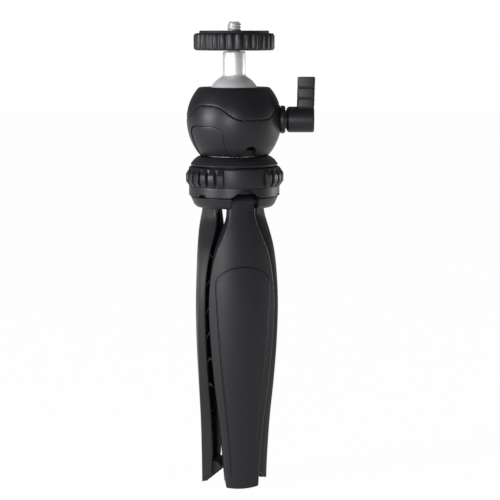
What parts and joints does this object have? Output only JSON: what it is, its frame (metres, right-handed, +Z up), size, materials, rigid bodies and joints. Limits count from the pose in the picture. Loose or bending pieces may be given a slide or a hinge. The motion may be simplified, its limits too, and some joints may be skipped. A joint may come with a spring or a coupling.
{
  "type": "mini table tripod with ball head",
  "caption": "Folding mini table tripod with a lockable ball head, knurled camera lock wheel, side lock lever and selector ring for the leg spread.",
  "frame": {"origin": "on the tripod's axis at the seat of the camera screw, the top face of the rubber pad", "axes": "+Z up along the camera screw, legs hanging down; +X towards the lock lever"},
  "size_m": [0.0582, 0.044, 0.2103],
  "materials": {
    "screw_steel": "bright turned steel",
    "satin_metal": "satin",
    "black_plastic": "fine matte grain",
    "black_rubber": "matte",
    "brass": "plain",
    "inner_plastic": "plain",
    "inner_steel": "plain"
  },
  "bodies": {
    "base": {"leg_hub": "black_plastic", "base_collar": "black_plastic", "centre_bolt": "inner_steel", "centre_nut": "inner_steel", "lock_washer": "inner_steel", "pan_washer": "inner_plastic", "collar_screws": "inner_steel", "pivot_pins": "inner_steel", "detent_ball": "inner_steel", "detent_spring": "inner_steel"},
    "head": {"upper_housing": "black_plastic", "lower_housing": "black_plastic", "tab_cover": "black_plastic", "socket_liner": "inner_plastic", "housing_screws": "inner_steel", "clamp_nut": "brass", "lever_flange": "black_plastic"},
    "seat": {"ball_cup": "inner_plastic"},
    "ball": {"ball_stem": "satin_metal", "camera_screw": "screw_steel"},
    "bush": {"wheel_bush": "inner_steel"},
    "wheel": {"lock_wheel": "black_plastic", "wheel_pad": "black_rubber"},
    "shoe": {"brake_shoe": "inner_plastic"},
    "lever": {"lock_lever": "black_plastic", "clamp_screw": "inner_steel"},
    "ring": {"selector_ring": "black_plastic"},
    "front_leg_body": {"front_leg": "black_plastic", "front_foot": "black_rubber"},
    "left_leg_body": {"left_leg": "black_plastic", "left_foot": "black_rubber"},
    "right_leg_body": {"right_leg": "black_plastic", "right_foot": "black_rubber"}
  },
  "joints": [
    {"name": "head_pan", "type": "hinge", "parent": "base", "child": "head", "pos_m": [0, 0, -0.055], "axis": [0, 0, 1], "continuous": true},
    {"name": "ball_pan", "type": "hinge", "parent": "head", "child": "seat", "pos_m": [0, 0, -0.0308], "axis": [0, 0, 1], "continuous": true},
    {"name": "ball_tilt", "type": "hinge", "parent": "seat", "child": "ball", "pos_m": [0, 0, -0.0308], "axis": [1, 0, 0], "range_deg": [-30, 30]},
    {"name": "wheel_rise", "type": "slide", "parent": "ball", "child": "bush", "axis": [0, 0, 1], "range_m": [0, 0.00255]},
    {"name": "wheel_spin", "type": "hinge", "parent": "bush", "child": "wheel", "pos_m": [0, 0, -0.005], "axis": [0, 0, 1], "range_deg": [0, 720]},
    {"name": "shoe_push", "type": "slide", "parent": "head", "child": "shoe", "axis": [1, 0, 0], "range_m": [0, 0.00051]},
    {"name": "lever_turn", "type": "hinge", "parent": "shoe", "child": "lever", "pos_m": [0.03, 0, -0.0397], "axis": [1, 0, 0], "range_deg": [0, 180]},
    {"name": "ring_turn", "type": "hinge", "parent": "base", "child": "ring", "pos_m": [0, 0, -0.0653], "axis": [0, 0, 1], "range_deg": [0, 60]},
    {"name": "front_leg_spread", "type": "hinge", "parent": "base", "child": "front_leg_body", "pos_m": [0.00289, -0.01009, -0.0758], "axis": [-0.9613, -0.2756, 0], "range_deg": [0, 40]},
    {"name": "left_leg_spread", "type": "hinge", "parent": "base", "child": "left_leg_body", "pos_m": [-0.01019, 0.00254, -0.0758], "axis": [0.2419, 0.9703, 0], "range_deg": [0, 40]},
    {"name": "right_leg_spread", "type": "hinge", "parent": "base", "child": "right_leg_body", "pos_m": [0.00729, 0.00755, -0.0758], "axis": [0.7193, -0.6947, 0], "range_deg": [0, 40]}
  ],
  "couplings": [
    {"joint": "wheel_rise", "follows": "wheel_spin", "m_per_rad": 0.00020213},
    {"joint": "shoe_push", "follows": "lever_turn", "m_per_rad": 0.00015915}
  ]
}
